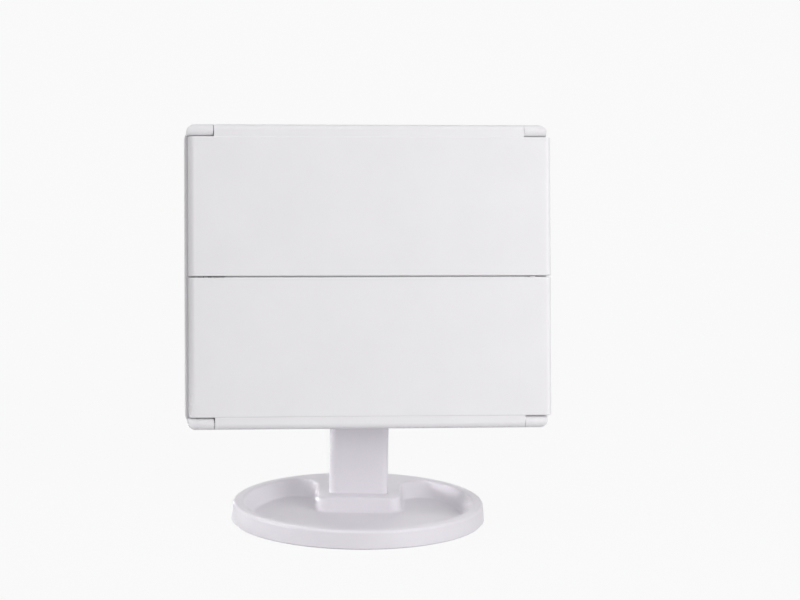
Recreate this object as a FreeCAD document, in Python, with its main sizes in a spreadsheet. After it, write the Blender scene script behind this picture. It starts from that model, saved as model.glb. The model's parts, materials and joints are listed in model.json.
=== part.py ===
import FreeCAD, Part
import math
import os
import re

import Sketcher

# Lighted folding makeup mirror: a mirror head with two doors on a flat stem and a round tray base.
# The origin is the middle of the underside, on the table. +Z is up and the mirror faces -Y.
# The head is modelled in its own frame, with the tilt axis as origin, x along the long side,
# z up the short side and "forward" f = -y as the distance in front of the tilt axis.

V = FreeCAD.Vector
doc = FreeCAD.newDocument("makeup_mirror")
sheet = doc.addObject("Spreadsheet::Sheet", "Sizes")

# Driving dimensions in millimetres and degrees
SIZES = [
    # Base
    ("base_radius", 78.0, "radius of the base at its foot"),
    ("base_draft", 0.9, "how far the base draws in from foot to rim"),
    ("base_height", 11.4, "height of the rim above the underside"),
    ("base_wall", 2.0, "moulded wall of the base"),
    ("rim_width", 6.6, "width of the rim's top"),
    ("bowl_slope", 5.4, "run of the bowl's sloping wall"),
    ("rim_round", 2.0, "rounding along the rim"),
    ("foot_bevel", 0.7, "bevel round the base's foot"),
    ("bowl_round", 2.0, "rounding round the bowl's floor"),
    ("plinth_side", 7.95, "plinth beside the stem, at its top"),
    ("plinth_lip", 10.0, "plinth in front of the stem, at its top"),
    ("hollow_setback", 26.0, "back of the hollow in the plinth, in from the base's edge"),
    ("plinth_draft", 1.2, "run of the plinth's sloping sides"),
    ("plinth_corner", 8.0, "radius of the plinth's front corners"),
    ("sweep_share", 0.154, "radius that sweeps the plinth into the rim, as a share of the base's"),
    ("cover_plate", 1.5, "thickness of the plinth's underside cover"),
    ("foot_height", 0.6, "rubber foot ring, height"),
    ("foot_inset", 1.0, "rubber foot ring, in from the underside's edge"),
    ("foot_width", 5.0, "rubber foot ring, width"),
    ("foot_taper", 0.5, "rubber foot ring, how much narrower at the table"),
    # Stem
    ("stem_width", 36.5, "stem, side to side"),
    ("stem_depth", 14.0, "stem, front to back"),
    ("stem_corner", 4.0, "radius of the stem's upright corners"),
    ("stem_setback", 45.9, "stem's back, in from the base's edge"),
    ("stem_wall", 2.0, "wall of the stem's tube"),
    ("socket_corner", 2.2, "radius of the socket's corners in the plinth"),
    ("foot_plug", 14.0, "height of the plug in the stem's foot"),
    ("foot_screw_spread", 10.0, "foot screws, distance from the middle"),
    ("cap_height", 2.0, "visible height of the stem's cap"),
    ("cap_plug", 16.0, "depth of the cap's plug in the stem"),
    ("cap_round", 1.0, "rounding of the stem cap's top edge"),
    # Neck
    ("pivot_height", 147.6, "height of the tilt axis above the table"),
    ("yaw_pin_radius", 3.0, "radius of the upright swivel pin"),
    ("bushing_wall", 1.0, "wall of the swivel bushing"),
    ("bushing_flange", 6.5, "radius of the bushing's flange"),
    ("flange_height", 1.0, "thickness of the bushing's flange"),
    ("clip_height", 0.8, "thickness of the swivel pin's clip"),
    ("clip_radius", 4.6, "outer radius of the clip"),
    ("clip_groove", 0.7, "depth of the clip's groove in the pin"),
    ("pin_tail", 1.5, "length of the pin below its clip"),
    ("pin_seat", 6.0, "length of the pin held in the yoke"),
    ("yoke_width", 30.0, "yoke, side to side"),
    ("yoke_depth", 13.0, "yoke, front to back"),
    ("yoke_drop", 16.0, "yoke's underside below the tilt axis"),
    ("yoke_seat", 7.5, "height of the yoke's solid foot"),
    ("yoke_round", 3.0, "radius of the yoke's upright corners"),
    ("ear_width", 5.5, "thickness of each ear of the yoke"),
    ("tilt_pin_radius", 2.5, "radius of the tilt pin"),
    ("tilt_head_radius", 4.6, "radius of the tilt pin's head and nut"),
    ("tilt_head", 2.2, "height of the tilt pin's head and nut"),
    ("washer_radius", 5.5, "outer radius of the friction washers"),
    ("washer", 0.5, "thickness of the friction washers"),
    ("lug_radius", 6.0, "radius of the bracket's lug"),
    ("web_height", 10.0, "height of the web between lug and disc"),
    ("disc_radius", 28.0, "radius of the turntable disc"),
    ("disc", 3.0, "thickness of the turntable disc"),
    ("disc_sink", 0.2, "disc's face below the rear cover's face"),
    ("hub_radius", 12.0, "radius of the turntable's hub"),
    ("hub_bore", 6.0, "radius of the hole in the hub"),
    ("ring_radius", 20.0, "radius of the retainer ring"),
    ("ring", 2.0, "thickness of the retainer ring"),
    ("spring_radius", 17.0, "radius of the wave washer"),
    ("spring", 0.8, "thickness of the wave washer"),
    ("ring_screw_circle", 9.0, "circle of the retainer screws"),
    # Head
    ("head_yaw", 7.7, "head turned to its left on the stem"),
    ("head_tilt", 11.0, "head tilted back"),
    ("head_turn", 0.45, "head turned clockwise, seen from the front, on its turntable"),
    ("neck_gap", 13.0, "rear cover's face in front of the tilt axis"),
    ("frame_length", 221.8, "long side of the head"),
    ("head_height", 184.9, "short side of the head"),
    ("outline_radius", 10.0, "corner radius of the frame and rear cover"),
    ("cover_depth", 13.5, "depth of the rear cover"),
    ("cover_round", 9.0, "rounding of the rear cover's edge"),
    ("cover_wall", 2.0, "wall of the rear cover"),
    ("frame_depth", 3.5, "depth of the front frame"),
    ("mirror_end_low", 24.0, "frame beside the center mirror at the button's end"),
    ("mirror_end_high", 6.0, "frame beside the center mirror at the other end"),
    ("mirror_edge", 24.5, "frame beside the center mirror along the hinges"),
    ("mirror_glass", 2.0, "thickness of the mirrors"),
    ("mirror_sink", 0.2, "mirror's face below the frame's face"),
    ("mirror_corner", 2.0, "corner radius of the mirrors"),
    ("light_edge", 15.5, "middle of the light strips, in from the long edge"),
    ("light_width", 9.0, "width of the light strips"),
    ("light_flange", 1.5, "diffuser's flange past its lens, each side"),
    ("flange", 1.2, "thickness of the diffuser's flange and legs"),
    ("light_depth", 5.0, "frame's back to the light board"),
    ("led_board", 1.2, "thickness of the light boards"),
    ("led_length", 3.5, "light, along the strip"),
    ("led_width", 2.8, "light, across the strip"),
    ("led_height", 0.8, "height of a light"),
    ("wire_radius", 0.7, "radius of the leads to the lights"),
    ("wire_spread", 2.0, "distance between two leads"),
    # Hinges and doors
    ("hinge_inset", 3.5, "hinge axis in from the head's long edge, radius of the barrels"),
    ("hinge_step", 0.4, "barrels behind the doors' front faces"),
    ("knuckle_low", 16.5, "length of the knuckles at the button's end"),
    ("knuckle_high", 14.7, "length of the knuckles at the other end"),
    ("knuckle_inset", 1.0, "knuckles' ends, in from the head's ends"),
    ("cap_line", 5.2, "line round the knuckles at the button's end, in from their ends"),
    ("line_width", 0.4, "width of that line"),
    ("line_depth", 0.15, "depth of that line"),
    ("knuckle_round", 4.5, "radius of the knuckles' outer corners"),
    ("hinge_pin_radius", 1.25, "radius of the hinge pins"),
    ("hinge_pin_sink", 1.5, "hinge pin's end below the knuckle's end"),
    ("hinge_pin_grip", 8.0, "length of the hinge pin in the door"),
    ("end_play_low", 0.5, "gap between knuckle and barrel at the button's end"),
    ("end_play_high", 0.2, "gap between knuckle and barrel at the other end"),
    ("door_shift", 1.65, "doors sit this far towards the head's top end"),
    ("door_depth", 9.0, "thickness of a door"),
    ("door_gap", 0.8, "gap between door and frame"),
    ("door_skin", 1.8, "front skin of a door"),
    ("door_border", 4.0, "door's border round its mirror"),
    ("door_ledge", 3.0, "ledge that carries the backing"),
    ("door_end_round", 3.5, "rounding of the door's end edges"),
    ("door_edge_round", 0.7, "rounding of the door's other front edges"),
    ("notch_gap", 0.35, "gap between knuckle and door"),
    ("seam", 0.8, "gap between the doors"),
    ("nub_reach", 0.4, "nub on the lower door's free edge"),
    ("nub_length", 3.0, "nub, along the edge"),
    ("nub_end", 10.0, "nub, from the door's top end"),
    ("backing", 1.4, "thickness of the door's backing board"),
    ("divider", 3.0, "bar between the two magnifying mirrors"),
    ("magnifier_share", 0.52, "weaker magnifying mirror, as a share of the door's pane"),
    ("sag_low", 0.8, "dish of the weaker magnifying mirror"),
    ("sag_high", 1.1, "dish of the stronger magnifying mirror"),
    # Power button, board and socket
    ("control_end", 13.0, "middle of the button, the board and the socket, in from the head's end"),
    ("control_length", 60.0, "control board, across the head"),
    ("control_width", 20.0, "control board, along the head"),
    ("control_board", 1.6, "thickness of the control board"),
    ("control_gap", 6.0, "frame's back to the control board"),
    ("control_post", 2.5, "radius of the board's posts"),
    ("control_post_x", 6.5, "board's posts, from its middle along the head"),
    ("control_post_z", 26.0, "board's posts, from its middle across the head"),
    ("button_radius", 5.0, "radius of the power button"),
    ("button_proud", 0.1, "button's face in front of the frame"),
    ("button_lip", 1.2, "button's lip behind the frame, past its radius"),
    ("button_lip_height", 0.8, "thickness of the button's lip"),
    ("button_travel", 0.5, "travel of the power button"),
    ("switch_side", 6.0, "side of the switch's body"),
    ("switch_height", 3.5, "height of the switch's body"),
    ("plunger_radius", 1.75, "radius of the switch's plunger"),
    ("plunger", 0.8, "height of the switch's plunger"),
    ("usb_z", -19.0, "middle of the socket, across the head"),
    ("usb_length", 9.0, "socket's shell, long side"),
    ("usb_width", 3.2, "socket's shell, short side"),
    ("usb_wall", 0.4, "wall of the socket's shell"),
    ("usb_tongue", 0.7, "thickness of the socket's tongue"),
    # Batteries
    ("battery_gap", 2.15, "gap between the turntable's seat and the battery tray"),
    ("battery_radius", 5.25, "radius of a battery"),
    ("battery_length", 44.5, "length of a battery"),
    ("battery_nub", 1.0, "height of a battery's terminal"),
    ("battery_nub_radius", 1.9, "radius of a battery's terminal"),
    ("contact_room", 2.5, "room for a contact at each end"),
    ("contact_plate", 0.4, "thickness of a contact's plate"),
    ("contact_side", 8.0, "side of a contact's plate"),
    ("contact_radius", 3.0, "radius of a contact's foot"),
    ("lid", 1.6, "thickness of the battery lid"),
    ("lid_lap", 1.5, "lid's lap past the hollow, each side"),
    ("lid_corner", 4.0, "radius of the lid's corners"),
    ("lid_groove", 0.7, "depth of the lid's finger groove"),
    ("tray_wall", 1.2, "wall of the battery hollow"),
    # Screws
    ("screw_radius", 1.25, "radius of the screws' shanks"),
    ("screw_head_radius", 2.5, "radius of the screws' heads"),
    ("screw_head", 1.2, "height of the screws' heads"),
    ("screw_length", 8.0, "length of the screws' shanks"),
    ("cross_reach", 0.6, "reach of the cross in a screw's head, as a share of the head's radius"),
    ("cross_slot", 0.14, "half the width of the cross's slots, as a share of the head's radius"),
    ("cross_depth", 0.6, "depth of the cross, as a share of the head's height"),
    ("small_screw", 4.0, "length of the small screws' shanks"),
    ("small_head", 1.0, "height of the small screws' heads"),
    ("small_head_radius", 2.2, "radius of the small screws' heads"),
    ("post_radius", 3.0, "radius of the posts for the cover screws"),
    ("post_end", 14.0, "cover screws, in from the head's ends"),
    ("post_edge", 27.5, "cover screws, in from the head's long edges"),
    # Clearances
    ("run_gap", 0.05, "radial clearance of a running fit"),
    ("fit_gap", 0.1, "clearance of a snug fit"),
    ("seat_gap", 0.25, "clearance round a seated piece"),
    ("turn_gap", 0.4, "clearance round the turntable disc"),
]

for row, (alias, number, note) in enumerate(SIZES, start=1):
    sheet.set("A%d" % row, note)
    sheet.set("B%d" % row, str(number))
    sheet.setAlias("B%d" % row, alias)
doc.recompute()

ALIASES = {alias for alias, number, note in SIZES}

LIGHTS_PER_STRIP = 12
BATTERIES = 4
RETAINER_SCREWS = 3

# Places that follow from the driving dimensions, as expressions
DERIVED = {
    # Base and stem
    "base_top": "foot_height + base_height",
    "base_floor": "foot_height + base_wall",
    "top_radius": "base_radius - base_draft",
    "rim_inner": "top_radius - rim_width",
    "floor_radius": "rim_inner - bowl_slope",
    "stem_front": "base_radius - stem_setback - stem_depth",
    "hollow_half": "stem_width / 2 + plinth_side - base_wall",
    "hollow_front": "stem_front - plinth_lip + base_wall",
    "hollow_back": "base_radius - hollow_setback",
    "foot_radius": "floor_radius + base_wall - foot_inset",
    "stem_foot": "foot_height + cover_plate",
    "pivot_y": "stem_front + stem_depth / 2",
    "yoke_foot": "pivot_height - yoke_drop",
    "stem_top": "yoke_foot - flange_height - fit_gap",
    "column_top": "stem_top - cap_height",
    "bushing_foot": "column_top - cap_plug",
    "bushing_radius": "yaw_pin_radius + run_gap + bushing_wall",
    "clip_top": "bushing_foot - fit_gap",
    # Neck, measured from the tilt axis
    "ear_inner": "yoke_width / 2 - ear_width",
    "lug_half": "ear_inner - washer - 2 * run_gap",
    "disc_back": "neck_gap + disc_sink",
    "disc_front": "disc_back + disc",
    "recess_floor": "disc_front + seat_gap",
    "recess_front": "recess_floor + cover_wall",
    "spring_back": "recess_front + fit_gap",
    "ring_back": "spring_back + spring + fit_gap",
    "ring_front": "ring_back + ring",
    # Head, as distances in front of the tilt axis
    "cover_inside": "neck_gap + cover_wall",
    "frame_back": "neck_gap + cover_depth",
    "frame_front": "frame_back + frame_depth",
    "door_back": "frame_front + door_gap",
    "door_front": "door_back + door_depth",
    "hinge_f": "door_front - hinge_step - hinge_inset",
    "mirror_front": "frame_front - mirror_sink",
    "mirror_back": "mirror_front - mirror_glass",
    "mirror_low": "mirror_end_low - end_x",
    "mirror_high": "end_x - mirror_end_high",
    "mirror_z": "edge_z - mirror_edge",
    "light_z": "edge_z - light_edge",
    "light_half": "light_width / 2",
    "flange_half": "light_half + light_flange",
    "flange_back": "frame_back - flange",
    "light_board_front": "frame_back - light_depth",
    "light_board_back": "light_board_front - led_board",
    "light_board_low": "mirror_low - 3 * wire_spread",
    # Hinges and doors
    "end_x": "frame_length / 2",
    "edge_z": "head_height / 2",
    "hinge_z": "edge_z - hinge_inset",
    "door_low": "door_shift - end_x",
    "door_high": "door_shift + end_x",
    "barrel_low": "knuckle_low + end_play_low - end_x",
    "barrel_high": "end_x - knuckle_high - end_play_high",
    "plate_top": "hinge_z - hinge_inset - notch_gap",
    "pane_low": "door_low + door_border",
    "pane_high": "door_high - door_border",
    "pane_foot": "seam / 2 + door_border",
    "pane_top": "plate_top - door_border",
    "pane_back": "door_back + mirror_sink",
    "pane_front": "pane_back + mirror_glass",
    "backing_front": "pane_front + backing",
    # Power button, board and posts
    "control_x": "control_end - end_x",
    "post_x": "end_x - post_end",
    "post_z": "edge_z - post_edge",
    "board_front": "frame_back - control_gap",
    "board_back": "board_front - control_board",
    "switch_front": "board_front + switch_height",
    "plunger_front": "switch_front + plunger",
    "button_front": "frame_front + button_proud",
    "lip_front": "frame_back - fit_gap",
    "lip_back": "lip_front - button_lip_height",
    "button_back": "plunger_front + button_travel + fit_gap",
    # Batteries
    "battery_pitch": "2 * battery_radius + seat_gap",
    "seat_radius": "disc_radius + turn_gap + cover_wall",
    "hollow_low": "seat_radius + battery_gap + tray_wall + lid_lap",
    "hollow_high": "hollow_low + battery_length + 2 * contact_room",
    "battery_low": "hollow_low + contact_room",
    "battery_high": "hollow_high - contact_room",
    "hollow_z": str(BATTERIES / 2) + " * battery_pitch + seat_gap",
    "lid_front": "neck_gap + lid",
    "battery_f": "lid_front + seat_gap + battery_radius",
    "hollow_front_f": "battery_f + battery_radius + seat_gap",
}

# The four frames that sub-parts are placed in
STAND = "placement(vector(0; 0; 0); rotation(0; 0; 0))"
YOKE = "placement(vector(0; pivot_y; pivot_height); rotation(head_yaw; 0; 0))"
TURNTABLE = "placement(vector(0; pivot_y; pivot_height); rotation(head_yaw; 0; -head_tilt))"
HEAD = TURNTABLE + " * placement(vector(0; 0; 0); rotation(0; head_turn; 0))"

SUBPARTS = []


def expand(text):
    """The expression with derived places written out and every alias read from the sheet."""
    def swap(match):
        word = match.group()
        if word in DERIVED:
            return "(" + expand(DERIVED[word]) + ")"
        return "Sizes." + word if word in ALIASES else word
    return re.sub(r"[A-Za-z_][A-Za-z_0-9]*", swap, str(text))


def bind(thing, path, text):
    thing.setExpression(path, expand(text))


def size(alias):
    return float(sheet.get(alias))


def place(thing, x, y, z):
    bind(thing, "Placement.Base.x", x)
    bind(thing, "Placement.Base.y", y)
    bind(thing, "Placement.Base.z", z)


def box(name, x, z, f=None, y=None):
    """A block between two ends in x, z and either y or the forward distance f."""
    if f is not None:
        y = ("-(%s)" % f[1], "-(%s)" % f[0])
    block = doc.addObject("Part::Box", name)
    for side, ends in (("Length", x), ("Width", y), ("Height", z)):
        bind(block, side, "(%s) - (%s)" % (ends[1], ends[0]))
    place(block, x[0], y[0], z[0])
    return block


def rod(name, axis, at, radius, start, stop):
    """A cylinder along X, Z or forward (F); at is (y, z), (x, y) or (x, z)."""
    piece = doc.addObject("Part::Cylinder", name)
    bind(piece, "Radius", radius)
    bind(piece, "Height", "(%s) - (%s)" % (stop, start))
    if axis == "X":
        piece.Placement = FreeCAD.Placement(V(), FreeCAD.Rotation(V(0, 1, 0), 90))
        place(piece, start, at[0], at[1])
    elif axis == "F":
        piece.Placement = FreeCAD.Placement(V(), FreeCAD.Rotation(V(1, 0, 0), 90))
        place(piece, at[0], "-(%s)" % start, at[1])
    else:
        place(piece, at[0], at[1], start)
    return piece


def fuse(name, *pieces):
    if len(pieces) == 1:
        return pieces[0]
    whole = doc.addObject("Part::MultiFuse", name)
    whole.Shapes = list(pieces)
    whole.Refine = True
    return whole


def cut(name, base, *tools):
    piece = doc.addObject("Part::Cut", name)
    piece.Base = base
    piece.Tool = fuse(name + "_tools", *tools)
    piece.Refine = True
    return piece


def common(name, base, tool):
    piece = doc.addObject("Part::Common", name)
    piece.Base = base
    piece.Tool = tool
    piece.Refine = True
    return piece


def runs_along(edge, axis):
    """Whether the edge is straight and lies along x, y or z."""
    if len(edge.Vertexes) != 2:
        return False
    step = edge.Vertexes[1].Point - edge.Vertexes[0].Point
    return abs(abs(getattr(step, axis)) - step.Length) < 1e-6


def lies_at(edge, axis, value):
    """Whether the whole edge lies in the plane where x, y or z has this value."""
    return all(abs(getattr(point, axis) - value) < 1e-4 for point in edge.discretize(9))


def reach(shape, axis):
    """The least and greatest x, y or z along the edges of a shape."""
    values = [getattr(point, axis) for edge in shape.Edges for point in edge.discretize(9)]
    return min(values), max(values)


def fillet(name, base, radius, numbers):
    piece = doc.addObject("Part::Fillet", name)
    piece.Base = base
    piece.Edges = [(number, radius, radius) for number in numbers]
    return piece


def upright_rounded(name, base, radius, axis):
    """The base with its edges along x, y or z rounded."""
    doc.recompute()
    edges = enumerate(base.Shape.Edges, start=1)
    return fillet(name, base, radius, [number for number, edge in edges if runs_along(edge, axis)])


def rim_rounded(name, base, radius, axis, value, along=None):
    """The base with its edges in one plane rounded, or only those along x, y or z."""
    doc.recompute()
    numbers = []
    for number, edge in enumerate(base.Shape.Edges, start=1):
        if lies_at(edge, axis, value) and (along is None or runs_along(edge, along)):
            numbers.append(number)
    return fillet(name, base, radius, numbers)


def end_rounded(name, base, radius, axis, end, along=None):
    """The base with the edges of its low (0) or high (1) end in x, y or z rounded."""
    doc.recompute()
    return rim_rounded(name, base, radius, axis, reach(base.Shape, axis)[end], along)


def slab(name, radius, x, z, f=None, y=None):
    """A block with its four edges along the depth (f) or along the height (y) rounded."""
    axis = "y" if f is not None else "z"
    return upright_rounded(name, box(name + "_block", x, z, f, y), size(radius), axis)


def turned(name, profile):
    """A body of revolution about Z from its (radius, height) corners."""
    body = doc.addObject("PartDesign::Body", name)
    sketch = body.newObject("Sketcher::SketchObject", name + "_profile")
    plane = next(part for part in body.Origin.OriginFeatures if part.Role == "XZ_Plane")
    sketch.AttachmentSupport = [(plane, "")]
    sketch.MapMode = "FlatFace"
    count = len(profile)
    start = [V(math.cos(2 * math.pi * i / count), math.sin(2 * math.pi * i / count)) for i in range(count)]
    for i in range(count):
        sketch.addGeometry(Part.LineSegment(start[i], start[(i + 1) % count]))
    for i in range(count):
        sketch.addConstraint(Sketcher.Constraint("Coincident", i, 2, (i + 1) % count, 1))
    for i, corner in enumerate(profile):
        for kind, text in zip(("DistanceX", "DistanceY"), corner):
            number = sketch.addConstraint(Sketcher.Constraint(kind, -1, 1, i, 1, 1.0))
            bind(sketch, "Constraints[%d]" % number, text)
    turn = body.newObject("PartDesign::Revolution", name + "_turn")
    turn.Profile = sketch
    turn.ReferenceAxis = (sketch, ["V_Axis"])
    turn.Angle = 360
    return body


def screw(name, at, seat, head_radius, head, length, axis="F", sign=1):
    """A screw with a cross in its head, behind its seat (sign 1: the shank points forward or up)."""
    def span(back, front):
        ends = ["(%s) + %d * (%s)" % (seat, sign, step) for step in (back, front)]
        return ends if sign > 0 else ends[::-1]

    cap = rod(name + "_head", axis, at, head_radius, *span("-" + head, "0"))
    shank = rod(name + "_shank", axis, at, "screw_radius", *span("0", length))
    deep = span("-2 * " + head, "(cross_depth - 1) * " + head)
    slots = []
    for number, shares in enumerate((("cross_reach", "cross_slot"), ("cross_slot", "cross_reach"))):
        slot = name + "_slot_%d" % number
        halves = ["%s * %s" % (share, head_radius) for share in shares]
        across, other = [("(%s) - %s" % (middle, half), "(%s) + %s" % (middle, half))
                         for middle, half in zip(at, halves)]
        slots.append(box(slot, across, other, f=deep) if axis == "F" else box(slot, across, deep, y=other))
    return cut(name, fuse(name + "_blank", cap, shank), *slots)


def keep(label, frame, *pieces):
    """A sub-part: one or more solids, placed in one of the four frames."""
    part = doc.addObject("Part::Compound", label)
    part.Label = label
    part.Links = list(pieces)
    bind(part, "Placement", frame)
    SUBPARTS.append(part)


# Base

def bowl_outline(z):
    """The bowl's outline at height z: the rim's circle, swept round the plinth at the back."""
    top = size("foot_height") + size("base_height")
    floor = size("foot_height") + size("base_wall")
    down = (top - z) / (top - floor)
    around = size("base_radius") - size("base_draft") - size("rim_width") - down * size("bowl_slope")
    half = size("stem_width") / 2 + size("plinth_side") + down * size("plinth_draft")
    stem_front = size("base_radius") - size("stem_setback") - size("stem_depth")
    front = stem_front - size("plinth_lip") - down * size("plinth_draft")
    corner = size("plinth_corner")
    sweep = size("sweep_share") * size("base_radius")
    middle = V(half + sweep, math.sqrt((around - sweep) ** 2 - (half + sweep) ** 2), z)
    bearing = math.atan2(middle.y, middle.x)
    turn = (math.pi + bearing) / 2
    meets = V(around * math.cos(bearing), around * math.sin(bearing), z)
    bulge = middle + V(sweep * math.cos(turn), sweep * math.sin(turn))
    leaves = V(half, middle.y, z)
    side = V(half, front + corner, z)
    rounds = V(half - corner * (1 - math.sqrt(0.5)), front + corner * (1 - math.sqrt(0.5)), z)
    ahead = V(half - corner, front, z)

    def other(point):
        return V(-point.x, point.y, point.z)

    return Part.Wire([
        Part.Arc(meets, V(0, -around, z), other(meets)).toShape(),
        Part.Arc(other(meets), other(bulge), other(leaves)).toShape(),
        Part.makeLine(other(leaves), other(side)),
        Part.Arc(other(side), other(rounds), other(ahead)).toShape(),
        Part.makeLine(other(ahead), ahead),
        Part.Arc(ahead, rounds, side).toShape(),
        Part.makeLine(side, leaves),
        Part.Arc(leaves, bulge, meets).toShape(),
    ])


def make_base():
    blank = turned("base_blank", [
        ("0", "foot_height"),
        ("floor_radius + base_wall", "foot_height"),
        ("rim_inner + base_wall", "base_top - base_wall"),
        ("top_radius - base_wall", "base_top - base_wall"),
        ("base_radius - base_wall", "foot_height"),
        ("base_radius - foot_bevel", "foot_height"),
        ("base_radius", "foot_height + foot_bevel"),
        ("top_radius", "base_top"),
        ("0", "base_top"),
    ])
    floor = size("foot_height") + size("base_wall")
    above = size("foot_height") + size("base_height") + size("rim_round")
    bowl = doc.addObject("Part::Feature", "base_bowl")
    bowl.Shape = Part.makeLoft([bowl_outline(floor), bowl_outline(above)], True, True)
    tray = cut("base_open", blank, bowl)

    soft = rim_rounded("base_rim", tray, size("rim_round"), "z", size("foot_height") + size("base_height"))
    soft = rim_rounded("base_soft", soft, size("bowl_round"), "z", floor)
    hollow = slab("plinth_hollow", "socket_corner", ("-hollow_half", "hollow_half"),
                  ("foot_height - base_wall", "base_top - base_wall"), y=("hollow_front", "hollow_back"))
    shelled = cut("base_shell", soft, hollow)
    socket_x = "stem_width / 2 + fit_gap"
    socket_front = "stem_front - fit_gap"
    socket_back = "stem_front + stem_depth + fit_gap"
    sleeve = box("stem_sleeve", ("-(%s) - base_wall" % socket_x, "%s + base_wall" % socket_x),
                 ("stem_foot", "base_top - base_wall"),
                 y=(socket_front + " - base_wall", socket_back + " + base_wall"))
    socket = slab("stem_socket", "socket_corner", ("-(%s)" % socket_x, socket_x),
                  ("foot_height", "base_top + base_wall"), y=(socket_front, socket_back))
    keep("base_tray", STAND, cut("base_moulding", fuse("base_sleeved", shelled, sleeve), socket))


def foot_screw_places():
    return [("-foot_screw_spread", "pivot_y"), ("foot_screw_spread", "pivot_y")]


def make_underside():
    plate = slab("cover_plate_blank", "socket_corner", ("fit_gap - hollow_half", "hollow_half - fit_gap"),
                 ("foot_height", "stem_foot"), y=("hollow_front + fit_gap", "hollow_back - fit_gap"))
    bores = []
    screws = []
    for number, at in enumerate(foot_screw_places()):
        name = "foot_screw_%d" % number
        seat = "foot_height + small_head"
        bores.append(rod(name + "_bore", "Z", at, "screw_radius + fit_gap", "0", "base_top"))
        bores.append(rod(name + "_recess", "Z", at, "small_head_radius + fit_gap", "0", seat))
        screws.append(screw(name, at, seat, "small_head_radius", "small_head", "screw_length", "Z"))
    keep("plinth_cover", STAND, cut("plinth_plate", plate, *bores))
    keep("foot_screws", STAND, *screws)
    keep("foot_ring", STAND, turned("foot_ring_turned", [
        ("foot_radius - foot_width", "foot_height"),
        ("foot_radius - foot_width + foot_taper", "0"),
        ("foot_radius - foot_taper", "0"),
        ("foot_radius", "foot_height"),
    ]))


# Stem

def make_stem():
    half = "stem_width / 2"
    inner = "stem_width / 2 - stem_wall"
    front = "stem_front"
    back = "stem_front + stem_depth"
    outside = slab("stem_outside", "stem_corner", ("-(%s)" % half, half), ("stem_foot", "column_top"),
                   y=(front, back))
    inside = slab("stem_inside", "stem_wall", ("-(%s)" % inner, inner),
                  ("stem_foot - base_wall", "column_top + base_wall"),
                  y=(front + " + stem_wall", back + " - stem_wall"))
    keep("stem_column", STAND, cut("stem_tube", outside, inside))
    plug_x = ("-(%s) + fit_gap" % inner, inner + " - fit_gap")
    plug_y = (front + " + stem_wall + fit_gap", back + " - stem_wall - fit_gap")
    plug = slab("foot_plug_blank", "stem_wall", plug_x, ("stem_foot", "stem_foot + foot_plug"), y=plug_y)
    bores = [rod("foot_plug_bore_%d" % number, "Z", at, "screw_radius + run_gap", "0",
                 "foot_height + small_head + screw_length + fit_gap")
             for number, at in enumerate(foot_screw_places())]
    keep("stem_foot_plug", STAND, cut("foot_plug_bored", plug, *bores))
    cap = slab("stem_cap_top", "stem_corner", ("-(%s)" % half, half), ("column_top", "stem_top"),
               y=(front, back))
    cap = end_rounded("stem_cap_soft", cap, size("cap_round"), "z", 1)
    spigot = slab("stem_cap_spigot", "stem_wall", plug_x, ("bushing_foot", "column_top"), y=plug_y)
    bore = rod("stem_cap_bore", "Z", ("0", "pivot_y"), "bushing_radius + run_gap", "bushing_foot - base_wall",
               "stem_top + base_wall")
    keep("stem_cap", STAND, cut("stem_cap_bored", fuse("stem_cap_blank", cap, spigot), bore))
    bushing = turned("yaw_bushing_turned", [
        ("yaw_pin_radius + run_gap", "bushing_foot"),
        ("bushing_radius", "bushing_foot"),
        ("bushing_radius", "stem_top"),
        ("bushing_flange", "stem_top"),
        ("bushing_flange", "stem_top + flange_height"),
        ("yaw_pin_radius + run_gap", "stem_top + flange_height"),
    ])
    bind(bushing, "Placement.Base.y", "pivot_y")
    keep("yaw_bushing", STAND, bushing)


# Neck

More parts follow.
